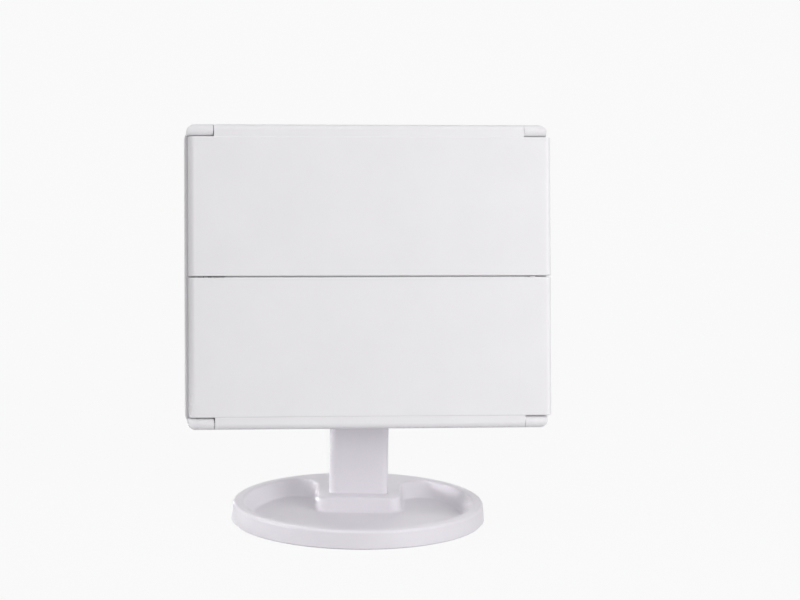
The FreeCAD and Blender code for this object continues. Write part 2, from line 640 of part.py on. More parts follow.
def make_neck():
    half = "yoke_width / 2"
    depth = "yoke_depth / 2"
    foot = slab("yoke_foot_block", "yoke_round", ("-(%s)" % half, half),
                ("-yoke_drop", "yoke_seat - yoke_drop"), y=("-(%s)" % depth, depth))
    solids = [foot]
    for side in (-1, 1):
        ends = ("ear_inner", half) if side > 0 else ("-(%s)" % half, "-ear_inner")
        name = "yoke_ear_%s" % ("right" if side > 0 else "left")
        arm = slab(name + "_arm", "yoke_round", ("-(%s)" % half, half), ("-yoke_drop", "0"),
                   y=("-(%s)" % depth, depth))
        keeper = box(name + "_keeper", ends, ("-yoke_drop", "0"), y=("-yoke_depth", "yoke_depth"))
        solids.append(common(name + "_side", arm, keeper))
        solids.append(rod(name + "_eye", "X", ("0", "0"), depth, *ends))
    tilt_bore = rod("yoke_tilt_bore", "X", ("0", "0"), "tilt_pin_radius + run_gap",
                    "-yoke_width", "yoke_width")
    pin_bore = rod("yoke_pin_bore", "Z", ("0", "0"), "yaw_pin_radius + run_gap", "-2 * yoke_drop",
                   "pin_seat - yoke_drop")
    keep("swivel_yoke", YOKE, cut("yoke_bored", fuse("yoke_blank", *solids), tilt_bore, pin_bore))

    clip_top = "clip_top - pivot_height"
    clip_foot = "clip_top - clip_height - pivot_height"
    keep("yaw_pin", YOKE, turned("yaw_pin_turned", [
        ("0", clip_foot + " - pin_tail"),
        ("yaw_pin_radius", clip_foot + " - pin_tail"),
        ("yaw_pin_radius", clip_foot),
        ("yaw_pin_radius - clip_groove", clip_foot),
        ("yaw_pin_radius - clip_groove", clip_top),
        ("yaw_pin_radius", clip_top),
        ("yaw_pin_radius", "pin_seat - yoke_drop"),
        ("0", "pin_seat - yoke_drop"),
    ]))
    clip = rod("clip_disc", "Z", ("0", "0"), "clip_radius", clip_foot + " + run_gap", clip_top + " - run_gap")
    clip_hole = rod("clip_hole", "Z", ("0", "0"), "yaw_pin_radius - clip_groove + run_gap",
                    clip_foot + " - clip_height", clip_top + " + clip_height")
    clip_slot = box("clip_slot", ("clip_groove - yaw_pin_radius", "yaw_pin_radius - clip_groove"),
                    (clip_foot + " - clip_height", clip_top + " + clip_height"), y=("0", "2 * clip_radius"))
    keep("pin_clip", YOKE, cut("clip_bored", clip, clip_hole, clip_slot))

    shank = rod("tilt_shank", "X", ("0", "0"), "tilt_pin_radius", "-(%s)" % half, half + " + tilt_head")
    head = rod("tilt_pin_head", "X", ("0", "0"), "tilt_head_radius",
               "-(%s) - tilt_head" % half, "-(%s)" % half)
    head = end_rounded("tilt_pin_dome", head, size("cap_round"), "x", 0)
    keep("tilt_pin", YOKE, fuse("tilt_pin_whole", shank, head))
    nut = rod("tilt_nut_blank", "X", ("0", "0"), "tilt_head_radius", half, half + " + tilt_head + cap_round")
    nut = end_rounded("tilt_nut_dome", nut, size("cap_round"), "x", 1)
    nut_bore = rod("tilt_nut_bore", "X", ("0", "0"), "tilt_pin_radius + run_gap",
                   "0", half + " + tilt_head + fit_gap")
    keep("tilt_nut", YOKE, cut("tilt_nut_bored", nut, nut_bore))
    washers = []
    for side in (-1, 1):
        ends = ("lug_half + run_gap", "lug_half + run_gap + washer")
        if side < 0:
            ends = ("-(%s)" % ends[1], "-(%s)" % ends[0])
        name = "friction_washer_%s" % ("right" if side > 0 else "left")
        washers.append(cut(name, rod(name + "_disc", "X", ("0", "0"), "washer_radius", *ends),
                           rod(name + "_hole", "X", ("0", "0"), "tilt_pin_radius + run_gap",
                               "-yoke_width", "yoke_width")))
    keep("friction_washers", YOKE, *washers)


def ring_screw_places():
    step = 360 / RETAINER_SCREWS
    return [("ring_screw_circle * cos(%gdeg)" % (90 + step * number),
             "ring_screw_circle * sin(%gdeg)" % (90 + step * number)) for number in range(RETAINER_SCREWS)]


def make_turntable():
    lug = rod("bracket_lug", "X", ("0", "0"), "lug_radius", "-lug_half", "lug_half")
    web = box("bracket_web", ("-lug_half", "lug_half"), ("-web_height / 2", "web_height / 2"),
              f=("0", "disc_front"))
    disc = rod("bracket_disc", "F", ("0", "0"), "disc_radius", "disc_back", "disc_front")
    disc = end_rounded("bracket_disc_soft", disc, size("cap_round"), "y", 1)
    hub = rod("bracket_hub", "F", ("0", "0"), "hub_radius", "disc_back + cap_round", "ring_back")
    tools = [
        rod("bracket_tilt_bore", "X", ("0", "0"), "tilt_pin_radius + run_gap", "-yoke_width", "yoke_width"),
        rod("bracket_hub_bore", "F", ("0", "0"), "hub_bore", "disc_front", "ring_front"),
    ]
    ring = rod("retainer_disc", "F", ("0", "0"), "ring_radius", "ring_back", "ring_front")
    ring_tools = [rod("retainer_hole", "F", ("0", "0"), "hub_bore", "0", "2 * ring_front")]
    screws = []
    for number, at in enumerate(ring_screw_places()):
        name = "retainer_screw_%d" % number
        tools.append(rod(name + "_thread", "F", at, "screw_radius + run_gap", "disc_front", "ring_front"))
        ring_tools.append(rod(name + "_bore", "F", at, "screw_radius + fit_gap", "0", "2 * ring_front"))
        screws.append(screw(name, at, "ring_front", "small_head_radius", "small_head", "small_screw",
                            sign=-1))
    keep("tilt_bracket", TURNTABLE, cut("bracket_bored", fuse("bracket_blank", lug, web, disc, hub), *tools))
    keep("retainer_ring", TURNTABLE, cut("retainer_bored", ring, *ring_tools))
    keep("retainer_screws", TURNTABLE, *screws)
    spring = rod("wave_disc", "F", ("0", "0"), "spring_radius", "spring_back", "spring_back + spring")
    spring_hole = rod("wave_hole", "F", ("0", "0"), "hub_radius + seat_gap", "0", "ring_front")
    keep("wave_washer", TURNTABLE, cut("wave_ring", spring, spring_hole))


# Head

def cover_screw_places():
    return [("%d * post_x" % along, "%d * post_z" % across) for along in (-1, 0, 1) for across in (-1, 1)]


def board_post_places():
    return [("control_x + %d * control_post_x" % along, "%d * control_post_z" % across)
            for along in (-1, 1) for across in (-1, 1)]


def battery_rows():
    return ["%g * battery_pitch" % (number - (BATTERIES - 1) / 2) for number in range(BATTERIES)]


def cover_block(name, gap, back, front):
    """The rear cover's outline, drawn in by a gap, with its corners and rear edge rounded."""
    x = "end_x - " + gap
    z = "edge_z - " + gap
    drawn_in = 0 if gap == "0" else size(gap)
    block = box(name + "_block", ("-(%s)" % x, x), ("-(%s)" % z, z), f=(back, front))
    block = upright_rounded(name + "_outline", block, size("outline_radius") - drawn_in, "y")
    return end_rounded(name, block, size("cover_round") - drawn_in, "y", 1)


def make_rear_cover():
    outside = cover_block("cover_outside", "0", "neck_gap", "frame_back")
    hollow = cover_block("cover_hollow", "cover_wall", "cover_inside", "frame_back + cover_wall")
    shell = cut("cover_shell", outside, hollow)
    seat = rod("turntable_seat", "F", ("0", "0"), "seat_radius", "neck_gap + cover_wall / 2", "recess_front")
    lap = "lid_lap + tray_wall"
    tray = box("battery_tray", ("hollow_low - %s" % lap, "hollow_high + %s" % lap),
               ("-hollow_z - (%s)" % lap, "hollow_z + %s" % lap),
               f=("neck_gap + cover_wall / 2", "frame_back"))
    recess = rod("turntable_recess", "F", ("0", "0"), "disc_radius + turn_gap", "0", "recess_floor")
    bore = rod("turntable_bore", "F", ("0", "0"), "hub_radius + fit_gap", "0", "frame_back")
    cells = box("battery_hollow", ("hollow_low", "hollow_high"), ("-hollow_z", "hollow_z"),
                f=("0", "hollow_front_f"))
    lid_seat = slab("lid_seat", "lid_corner", ("hollow_low - lid_lap", "hollow_high + lid_lap"),
                    ("-hollow_z - lid_lap", "hollow_z + lid_lap"), f=("0", "lid_front"))
    window = box("usb_window",
                 ("control_x - usb_width / 2 - seat_gap", "control_x + usb_width / 2 + seat_gap"),
                 ("usb_z - usb_length / 2 - seat_gap", "usb_z + usb_length / 2 + seat_gap"),
                 f=("0", "board_back"))
    tools = [recess, bore, cells, lid_seat, window]
    for number, at in enumerate(cover_screw_places()):
        name = "cover_screw_%d" % number
        tools.append(rod(name + "_bore", "F", at, "screw_radius + fit_gap", "0", "cover_inside + cover_wall"))
        tools.append(rod(name + "_recess", "F", at, "screw_head_radius + fit_gap", "0",
                         "neck_gap + screw_head"))
    keep("rear_cover", HEAD, cut("cover_moulding", fuse("cover_blank", shell, seat, tray), *tools))
    keep("cover_screws", HEAD, *[
        screw("cover_screw_%d_whole" % number, at, "neck_gap + screw_head", "screw_head_radius", "screw_head",
              "screw_length") for number, at in enumerate(cover_screw_places())])


def knuckle_line(name, rise, axis):
    """A tool that cuts the fine line round a knuckle where its end cap begins."""
    start = "knuckle_inset + cap_line - end_x"
    along = (start, start + " + line_width")
    ring = box(name + "_ring", along, (rise[0] + " - line_width", rise[1] + " + line_width"),
               f=("frame_front", "door_front + line_width"))
    core = box(name + "_core", along, (rise[0] + " + line_depth", rise[1] + " - line_depth"),
               f=("frame_front", "hinge_f"))
    round_core = rod(name + "_round_core", "X", axis, "hinge_inset - line_depth", *along)
    return cut(name + "_line", ring, core, round_core)


def make_front_frame():
    plate = slab("frame_plate", "outline_radius", ("-end_x", "end_x"), ("-edge_z", "edge_z"),
                 f=("frame_back", "frame_front"))
    outline = slab("knuckle_outline", "knuckle_round", ("knuckle_inset - end_x", "end_x - knuckle_inset"),
                   ("-edge_z", "edge_z"), f=("frame_back + frame_depth / 2", "door_front"))
    solids = [plate]
    tools = []
    pins = []
    for side in (-1, 1):
        for low in (True, False):
            name = "knuckle_%s_%s" % ("upper" if side > 0 else "lower", "low" if low else "high")
            ends = ("-end_x", "knuckle_low - end_x") if low else ("end_x - knuckle_high", "end_x")
            rise = ("hinge_z - hinge_inset", "edge_z") if side > 0 else ("-edge_z", "hinge_inset - hinge_z")
            axis = ("-hinge_f", "%d * hinge_z" % side)
            arm = box(name + "_arm", ends, rise, f=("frame_back + frame_depth / 2", "hinge_f"))
            barrel = rod(name + "_barrel", "X", axis, "hinge_inset", *ends)
            solids.append(common(name, fuse(name + "_blank", arm, barrel), outline))
            if low:
                tools.append(knuckle_line(name, rise, axis))
            reach = ("knuckle_inset + hinge_pin_sink - end_x", "barrel_low + hinge_pin_grip")
            if not low:
                reach = ("barrel_high - hinge_pin_grip", "end_x - hinge_pin_sink - knuckle_inset")
            bore = ("-end_x - seam", "barrel_low") if low else ("barrel_high", "end_x + seam")
            tools.append(rod(name + "_bore", "X", axis, "hinge_pin_radius + run_gap", *bore))
            pins.append(rod(name + "_pin", "X", axis, "hinge_pin_radius", *reach))
    tools.append(slab("mirror_pocket", "mirror_corner", ("mirror_low - seat_gap", "mirror_high + seat_gap"),
                      ("-mirror_z - seat_gap", "mirror_z + seat_gap"),
                      f=("mirror_back - run_gap", "door_front")))
    for side in (-1, 1):
        middle = "%d * light_z" % side
        tools.append(box("light_slot_%s" % ("upper" if side > 0 else "lower"),
                         ("mirror_low - seat_gap", "mirror_high + seat_gap"),
                         (middle + " - light_half - seat_gap", middle + " + light_half + seat_gap"),
                         f=("frame_back - flange", "door_front")))
    tools.append(rod("button_hole", "F", ("control_x", "0"), "button_radius + fit_gap", "frame_back - flange",
                     "door_front"))
    for number, at in enumerate(cover_screw_places()):
        solids.append(rod("cover_post_%d" % number, "F", at, "post_radius", "cover_inside",
                          "frame_back + frame_depth / 4"))
        tools.append(rod("cover_post_%d_bore" % number, "F", at, "screw_radius + run_gap", "neck_gap",
                         "neck_gap + screw_head + screw_length + fit_gap"))
    for number, at in enumerate(board_post_places()):
        solids.append(rod("board_post_%d" % number, "F", at, "control_post", "board_front",
                          "frame_back + frame_depth / 4"))
        tools.append(rod("board_post_%d_bore" % number, "F", at, "screw_radius + run_gap", "board_back",
                         "board_back + small_screw + fit_gap"))
    keep("front_frame", HEAD, cut("frame_moulding", fuse("frame_blank", *solids), *tools))
    keep("hinge_pins", HEAD, *pins)
    glass = slab("center_glass", "mirror_corner", ("mirror_low", "mirror_high"),
                 ("-mirror_z", "mirror_z"), f=("mirror_back", "mirror_front"))
    keep("center_mirror", HEAD, glass)


def make_lights():
    lamps = []
    wires = []
    for side, name in ((1, "upper"), (-1, "lower")):
        middle = "%d * light_z" % side
        x = ("mirror_low", "mirror_high")

        def across(half):
            return (middle + " - (%s)" % half, middle + " + (%s)" % half)

        lens = box(name + "_lens", x, across("light_half"), f=("flange_back", "frame_front"))
        flange = box(name + "_flange", x, across("flange_half"), f=("light_board_front", "frame_back"))
        trough = box(name + "_trough", ("mirror_low - flange", "mirror_high + flange"),
                     across("flange_half - flange"), f=("light_board_front - flange", "flange_back"))
        blank = fuse(name + "_diffuser_blank", lens, flange)
        keep(name + "_diffuser", HEAD, cut(name + "_diffuser_cut", blank, trough))
        board = box(name + "_board", ("light_board_low", "mirror_high"), across("flange_half"),
                    f=("light_board_back", "light_board_front"))
        keep(name + "_led_board", HEAD, board)
        for number in range(LIGHTS_PER_STRIP):
            x_middle = "mirror_low + (mirror_high - mirror_low) * %g / %d" % (number + 0.5, LIGHTS_PER_STRIP)
            lamps.append(box("%s_led_%d" % (name, number),
                             (x_middle + " - led_length / 2", x_middle + " + led_length / 2"),
                             across("led_width / 2"),
                             f=("light_board_front", "light_board_front + led_height")))
        for number in range(2):
            lead_x = "light_board_low + wire_spread * %g" % (number + 0.5)
            ends = ["control_length / 2", "light_z - flange_half + wire_spread"]
            if side < 0:
                ends = ["-(%s)" % end for end in reversed(ends)]
            wires.append(rod("%s_lead_%d" % (name, number), "Z", (lead_x, "wire_radius - light_board_back"),
                             "wire_radius", *ends))
    keep("leds", HEAD, *lamps)
    keep("light_wires", HEAD, *wires)


def make_controls():
    board = box("control_blank", ("control_x - control_width / 2", "control_x + control_width / 2"),
                ("-control_length / 2", "control_length / 2"), f=("board_back", "board_front"))
    bores = []
    screws = []
    for number, at in enumerate(board_post_places()):
        name = "board_screw_%d" % number
        bores.append(rod(name + "_bore", "F", at, "screw_radius + fit_gap", "neck_gap", "frame_back"))
        screws.append(screw(name, at, "board_back", "small_head_radius", "small_head", "small_screw"))
    keep("control_board", HEAD, cut("control_bored", board, *bores))
    keep("board_screws", HEAD, *screws)
    half = "switch_side / 2"
    body = box("switch_body", ("control_x - " + half, "control_x + " + half), ("-(%s)" % half, half),
               f=("board_front", "switch_front"))
    plunger = rod("switch_plunger", "F", ("control_x", "0"), "plunger_radius", "board_front", "plunger_front")
    keep("tact_switch", HEAD, fuse("switch_whole", body, plunger))

    cap = rod("button_cap", "F", ("control_x", "0"), "button_radius", "lip_back", "button_front")
    cap = end_rounded("button_soft", cap, size("door_edge_round"), "y", 0)
    lip = rod("button_lip_ring", "F", ("control_x", "0"), "button_radius + button_lip",
              "lip_back", "lip_front")
    nub = rod("button_nub", "F", ("control_x", "0"), "plunger_radius", "button_back", "lip_front")
    keep("power_button", HEAD, fuse("button_whole", cap, lip, nub))

    def shell(name, wall, back, front):
        return box(name, ("control_x - usb_width / 2 + " + wall, "control_x + usb_width / 2 - " + wall),
                   ("usb_z - usb_length / 2 + " + wall, "usb_z + usb_length / 2 - " + wall), f=(back, front))

    outer = shell("usb_shell", "0", "neck_gap + seat_gap", "board_back")
    mouth = shell("usb_mouth", "usb_wall", "0", "board_back - 2 * usb_wall")
    tongue = box("usb_tongue_bar", ("control_x - usb_tongue / 2", "control_x + usb_tongue / 2"),
                 ("usb_z - usb_length / 4", "usb_z + usb_length / 4"),
                 f=("neck_gap + seat_gap + usb_tongue", "board_back - usb_wall"))
    keep("usb_socket", HEAD, fuse("usb_whole", cut("usb_hollow", outer, mouth), tongue))


def make_batteries():
    cells = []
    contacts = []
    low = "battery_low"
    high = "battery_high"
    for number, row in enumerate(battery_rows()):
        axis = ("-battery_f", row)
        turned_round = number % 2
        body = (low + " + battery_nub", high) if turned_round else (low, high + " - battery_nub")
        cell = rod("cell_%d_can" % number, "X", axis, "battery_radius", *body)
        nub = rod("cell_%d_terminal" % number, "X", axis, "battery_nub_radius", low, high)
        cells.append(fuse("cell_%d" % number, cell, nub))
        for end, inner in (("hollow_low", low), ("hollow_high", high)):
            name = "contact_%d_%s" % (number, end)
            wall = (end, end + " + contact_plate") if end == "hollow_low" else (end + " - contact_plate", end)
            plate = box(name + "_plate", wall, (row + " - contact_side / 2", row + " + contact_side / 2"),
                        f=("battery_f - contact_side / 2", "battery_f + contact_side / 2"))
            reach = (end, inner + " - fit_gap") if end == "hollow_low" else (inner + " + fit_gap", end)
            foot = rod(name + "_foot", "X", axis, "contact_radius", *reach)
            contacts.append(fuse(name, plate, foot))
    keep("battery_cells", HEAD, *cells)
    keep("battery_contacts", HEAD, *contacts)
    gap = "lid_lap - seat_gap"
    lid = slab("lid_plate", "lid_corner", ("hollow_low - (%s)" % gap, "hollow_high + %s" % gap),
               ("-hollow_z - (%s)" % gap, "hollow_z + %s" % gap), f=("neck_gap", "lid_front - fit_gap"))
    groove = slab("lid_grip", "lid_groove", ("hollow_low + contact_room", "hollow_low + 2 * contact_room"),
                  ("-contact_side", "contact_side"), f=("0", "neck_gap + lid_groove"))
    keep("battery_lid", HEAD, cut("lid_grooved", lid, groove))


# Doors

def make_door(side, name):
    def rise(low, high):
        return (low, high) if side > 0 else ("-(%s)" % high, "-(%s)" % low)

    plate = box(name + "_plate", ("door_low", "door_high"), rise("seam / 2", "plate_top"),
                f=("door_back", "door_front"))
    plate = end_rounded(name + "_ends", plate, size("door_end_round"), "y", 0, "z")
    plate = end_rounded(name + "_edges", plate, size("door_edge_round"), "y", 0, "x")
    web = box(name + "_web", ("barrel_low", "barrel_high"), rise("plate_top - door_border / 2", "hinge_z"),
              f=("hinge_f - hinge_inset", "hinge_f + hinge_inset"))
    axis = ("-hinge_f", "%d * hinge_z" % side)
    barrel = rod(name + "_barrel", "X", axis, "hinge_inset", "barrel_low", "barrel_high")
    solids = [plate, web, barrel]
    if side < 0:
        end = "door_high - nub_end"
        solids.append(box(name + "_nub", (end + " - nub_length", end),
                          ("-seam / 2 - door_border / 2", "nub_reach - seam / 2"),
                          f=("hinge_f", "door_front - door_end_round / 2")))
    pane_x = ("pane_low - seat_gap", "pane_high + seat_gap")
    pane_z = rise("pane_foot - seat_gap", "pane_top + seat_gap")
    pocket = slab(name + "_pocket", "mirror_corner", pane_x, pane_z, f=("frame_front", "backing_front"))
    hollow = slab(name + "_hollow", "mirror_corner", ("pane_low + door_ledge", "pane_high - door_ledge"),
                  rise("pane_foot + door_ledge", "pane_top - door_ledge"),
                  f=("frame_front", "door_front - door_skin"))
    bores = [
        rod(name + "_bore_low", "X", axis, "hinge_pin_radius + run_gap", "-end_x",
            "barrel_low + hinge_pin_grip + fit_gap"),
        rod(name + "_bore_high", "X", axis, "hinge_pin_radius + run_gap",
            "barrel_high - hinge_pin_grip - fit_gap", "end_x"),
    ]
    blank = fuse(name + "_blank", *solids)
    keep(name + "_shell", HEAD, cut(name + "_moulding", blank, pocket, hollow, *bores))
    backing = slab(name + "_board", "mirror_corner", ("pane_low", "pane_high"), rise("pane_foot", "pane_top"),
                   f=("pane_front", "backing_front"))
    glass_f = ("pane_back", "pane_front")
    if side < 0:
        keep(name + "_backing", HEAD, backing)
        keep("side_mirror", HEAD, slab("side_glass", "mirror_corner", ("pane_low", "pane_high"),
                                       rise("pane_foot", "pane_top"), f=glass_f))
        return
    split = "pane_low + magnifier_share * (pane_high - pane_low)"
    bar = box(name + "_bar", (split + " + seat_gap", split + " + divider - seat_gap"),
              rise("pane_foot", "pane_top"), f=("pane_back", "pane_front + backing / 2"))
    keep(name + "_backing", HEAD, fuse(name + "_backed", backing, bar))
    for strength, ends in (("low", ("pane_low", split)), ("high", (split + " + divider", "pane_high"))):
        pane = slab("magnifier_%s_glass" % strength, "mirror_corner", ends, rise("pane_foot", "pane_top"),
                    f=glass_f)
        half_x = "((%s) - (%s)) / 2" % (ends[1], ends[0])
        half_z = "(pane_top - pane_foot) / 2"
        sag = "sag_" + strength
        bend = "((%s)^2 + (%s)^2 + %s^2) / (2 * %s)" % (half_x, half_z, sag, sag)
        ball = doc.addObject("Part::Sphere", "magnifier_%s_ball" % strength)
        bind(ball, "Radius", bend)
        place(ball, "(%s) / 2 + (%s) / 2" % (ends[0], ends[1]), "%s - (pane_back + %s)" % (bend, sag),
              "%d * (pane_foot + pane_top) / 2" % side)
        keep("magnifier_mirror_" + strength, HEAD, cut("magnifier_%s_dished" % strength, pane, ball))


def check(part):
    """Stop if a sub-part, or anything it was made from, is broken."""
    for thing in [part] + part.OutListRecursive:
        if "Invalid" in thing.State or "Error" in thing.State:
            raise RuntimeError("%s did not rebuild: %s" % (thing.Name, thing.State))
    if part.Shape.isNull() or not part.Shape.isValid() or not part.Shape.Solids:
        raise RuntimeError("%s has no valid solid" % part.Label)


make_base()
make_underside()
make_stem()
make_neck()
make_turntable()
make_rear_cover()
make_front_frame()
make_lights()
make_controls()
make_batteries()
make_door(1, "upper_door")
make_door(-1, "lower_door")
doc.recompute()

os.makedirs("parts", exist_ok=True)
for part in SUBPARTS:
    check(part)
for part in SUBPARTS:
    part.Shape.exportStep(os.path.join("parts", part.Label + ".step"))
    print("%-24s %2d solids %9.0f mm3" % (part.Label, len(part.Shape.Solids), part.Shape.Volume))
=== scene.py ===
"""Looks of a folding lighted makeup mirror: finishes, the button's print, the studio and the camera."""
import json
import math

import bmesh
import bpy
from mathutils import Matrix, Vector


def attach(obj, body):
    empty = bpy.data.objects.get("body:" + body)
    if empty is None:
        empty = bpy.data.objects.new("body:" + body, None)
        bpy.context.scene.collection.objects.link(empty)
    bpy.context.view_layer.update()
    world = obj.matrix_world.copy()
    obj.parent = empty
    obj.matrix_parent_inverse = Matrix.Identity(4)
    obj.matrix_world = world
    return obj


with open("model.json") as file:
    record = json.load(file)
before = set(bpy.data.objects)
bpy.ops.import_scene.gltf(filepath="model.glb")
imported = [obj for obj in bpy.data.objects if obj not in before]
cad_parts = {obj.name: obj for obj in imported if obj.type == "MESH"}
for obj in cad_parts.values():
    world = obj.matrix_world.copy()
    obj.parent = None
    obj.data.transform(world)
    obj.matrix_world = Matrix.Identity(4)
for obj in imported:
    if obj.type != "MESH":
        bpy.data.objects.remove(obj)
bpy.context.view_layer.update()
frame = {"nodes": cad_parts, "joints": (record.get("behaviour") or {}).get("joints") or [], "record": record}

NODES = frame["nodes"]
JOINTS = {joint["name"]: joint for joint in frame["joints"]}


def head_frame():
    """The head's own frame, from its turning axis: x along its long side, y backwards, z across it."""
    along = Vector(JOINTS["lower_door_swing"]["axis"])
    backwards = -Vector(JOINTS["head_turn"]["axis"])
    turned = Matrix((along, backwards, along.cross(backwards))).transposed().to_4x4()
    return Matrix.Translation(JOINTS["head_turn"]["pos_m"]) @ turned


HEAD = head_frame()
MM = 0.001


def head_box(node):
    """A node's lowest and highest corners in the head's own frame."""
    to_head = HEAD.inverted()
    inside = [to_head @ vertex.co for vertex in NODES[node].data.vertices]
    low = Vector([min(place[axis] for place in inside) for axis in range(3)])
    high = Vector([max(place[axis] for place in inside) for axis in range(3)])
    return low, high


# Finishes

class Finish:
    """A node material under construction. Outputs are handed from one step to the next."""

    def __init__(self, name):
        self.material = bpy.data.materials.new(name)
        self.material.use_nodes = True
        self.tree = self.material.node_tree
        self.shader = self.tree.nodes["Principled BSDF"]
        self.place = self.add("ShaderNodeTexCoord").outputs["Object"]

    def add(self, kind, **settings):
        node = self.tree.nodes.new(kind)
        for key, value in settings.items():
            setattr(node, key, value)
        return node

    def feed(self, socket, value):
        """Give a socket another node's output, or a plain value."""
        if isinstance(value, bpy.types.NodeSocket):
            self.tree.links.new(value, socket)
        else:
            socket.default_value = value

    def wear(self, **looks):
        """Set the shader's own sockets, named in lower case with underscores."""
        names = {socket.name.lower().replace(" ", "_"): socket for socket in self.shader.inputs}
        for key, value in looks.items():
            self.feed(names[key], value)
        return self

    def in_head(self):
        """Places in the head's own frame, so that a pattern follows the turned and tilted head."""
        node = self.add("ShaderNodeMapping", vector_type="TEXTURE")
        node.inputs["Location"].default_value = HEAD.translation
        node.inputs["Rotation"].default_value = HEAD.to_euler("XYZ")
        self.feed(node.inputs["Vector"], self.place)
        return node.outputs["Vector"]

    def parts(self, place):
        """A place's three distances, by the names X, Y and Z."""
        node = self.add("ShaderNodeSeparateXYZ")
        self.feed(node.inputs[0], place)
        return node.outputs

    def stretched(self, place, x, y, z):
        """Places scaled along each axis, so that a pattern runs finer or coarser that way."""
        node = self.add("ShaderNodeMapping")
        node.inputs["Scale"].default_value = (x, y, z)
        self.feed(node.inputs["Vector"], place)
        return node.outputs["Vector"]

    def mottle(self, per_metre, detail=3.0, roughness=0.5, place=None):
        """A noise of so many waves to the metre, mostly between 0.3 and 0.7."""
        node = self.add("ShaderNodeTexNoise")
        self.feed(node.inputs["Vector"], place or self.place)
        node.inputs["Scale"].default_value = per_metre
        node.inputs["Detail"].default_value = detail
        node.inputs["Roughness"].default_value = roughness
        return node.outputs["Fac"]

    def spread(self, value, low, high, start=0.3, end=0.7):
        """A value from start to end, spread over low to high."""
        node = self.add("ShaderNodeMapRange")
        ends = {"Value": value, "From Min": start, "From Max": end, "To Min": low, "To Max": high}
        for key, number in ends.items():
            self.feed(node.inputs[key], number)
        return node.outputs["Result"]

    def work(self, operation, *values):
        """One step of arithmetic on outputs or plain numbers."""
        node = self.add("ShaderNodeMath", operation=operation)
        for socket, value in zip(node.inputs, values):
            self.feed(socket, value)
        return node.outputs[0]

    def blend(self, share, first, second):
        """A colour between two others. Inputs 6 and 7 and output 2 are a mix node's colour ones."""
        node = self.add("ShaderNodeMix", data_type="RGBA")
        self.feed(node.inputs["Factor"], share)
        self.feed(node.inputs[6], first if isinstance(first, bpy.types.NodeSocket) else (*first, 1.0))
        self.feed(node.inputs[7], second if isinstance(second, bpy.types.NodeSocket) else (*second, 1.0))
        return node.outputs[2]

    def tones(self, noise, first, second):
        """A colour that drifts from one tone to another with a noise."""
        return self.blend(self.spread(noise, 0.0, 1.0), first, second)

    def bump(self, height, strength, distance):
        """Relief on the surface, distance metres deep at full strength."""
        node = self.add("ShaderNodeBump")
        node.inputs["Strength"].default_value = strength
        node.inputs["Distance"].default_value = distance
        self.feed(node.inputs["Height"], height)
        self.feed(self.shader.inputs["Normal"], node.outputs["Normal"])
        return self

    def facing(self, direction):
        """How squarely a surface faces a direction or its opposite, from 0 to 1."""
        normal = self.add("ShaderNodeNewGeometry").outputs["True Normal"]
        to_object = self.add("ShaderNodeVectorTransform", vector_type="NORMAL", convert_from="WORLD",
                             convert_to="OBJECT")
        self.feed(to_object.inputs[0], normal)
        dot = self.add("ShaderNodeVectorMath", operation="DOT_PRODUCT")
        self.feed(dot.inputs[0], to_object.outputs[0])
        dot.inputs[1].default_value = direction
        return self.work("ABSOLUTE", dot.outputs["Value"])


def moulding(name, pale, deep, gloss, grain):
    """Injection-moulded plastic: slow tone drift, uneven sheen and a fine spark-eroded grain."""
    finish = Finish(name)
    drift = finish.mottle(26.0, 4.0, 0.55)
    sheen = finish.spread(finish.mottle(140.0, 5.0, 0.6), gloss - 0.04, gloss + 0.05)
    finish.wear(base_color=finish.tones(drift, deep, pale), roughness=sheen,
                specular_ior_level=0.45, ior=1.49)
    return finish.bump(finish.mottle(2400.0, 2.0), 0.1, grain).material


def white_shell():
    return moulding("white_shell", (0.872, 0.868, 0.878), (0.85, 0.845, 0.858), 0.34, 0.05 * MM)


def stand_shell():
    """The head's white in a greyer, cooler copy for the stand: painted shade for the dimmer, violet-tinted
    light that falls on the stand.
    """
    return moulding("stand_shell", (0.82, 0.797, 0.838), (0.80, 0.775, 0.818), 0.36, 0.05 * MM)


def white_trim():
    return moulding("white_trim", (0.82, 0.815, 0.828), (0.79, 0.785, 0.80), 0.5, 0.08 * MM)


def grey_neck():
    return moulding("grey_neck", (0.79, 0.78, 0.80), (0.75, 0.74, 0.765), 0.42, 0.06 * MM)


def pale_bearing():
    return moulding("pale_bearing", (0.86, 0.84, 0.78), (0.81, 0.79, 0.73), 0.4, 0.03 * MM)


def steel():
    """Bright zinc on turned and stamped steel: fine lathe lines and dull blotches."""
    finish = Finish("steel")
    blotch = finish.mottle(420.0, 5.0, 0.65)
    lines = finish.mottle(900.0, 2.0, place=finish.stretched(finish.place, 0.2, 0.2, 6.0))
    finish.wear(base_color=finish.tones(blotch, (0.50, 0.51, 0.53), (0.70, 0.71, 0.73)),
                roughness=finish.spread(blotch, 0.38, 0.22), metallic=1.0)
    return finish.bump(lines, 0.15, 0.02 * MM).material


def rubber():
    """Dark rubber with a dusty bloom and a coarse grain."""
    finish = Finish("rubber")
    dust = finish.mottle(300.0, 6.0, 0.7)
    finish.wear(base_color=finish.tones(dust, (0.032, 0.032, 0.035), (0.07, 0.07, 0.073)),
                roughness=finish.spread(dust, 0.7, 0.9), specular_ior_level=0.3)
    return finish.bump(finish.mottle(3200.0, 2.0), 0.3, 0.08 * MM).material


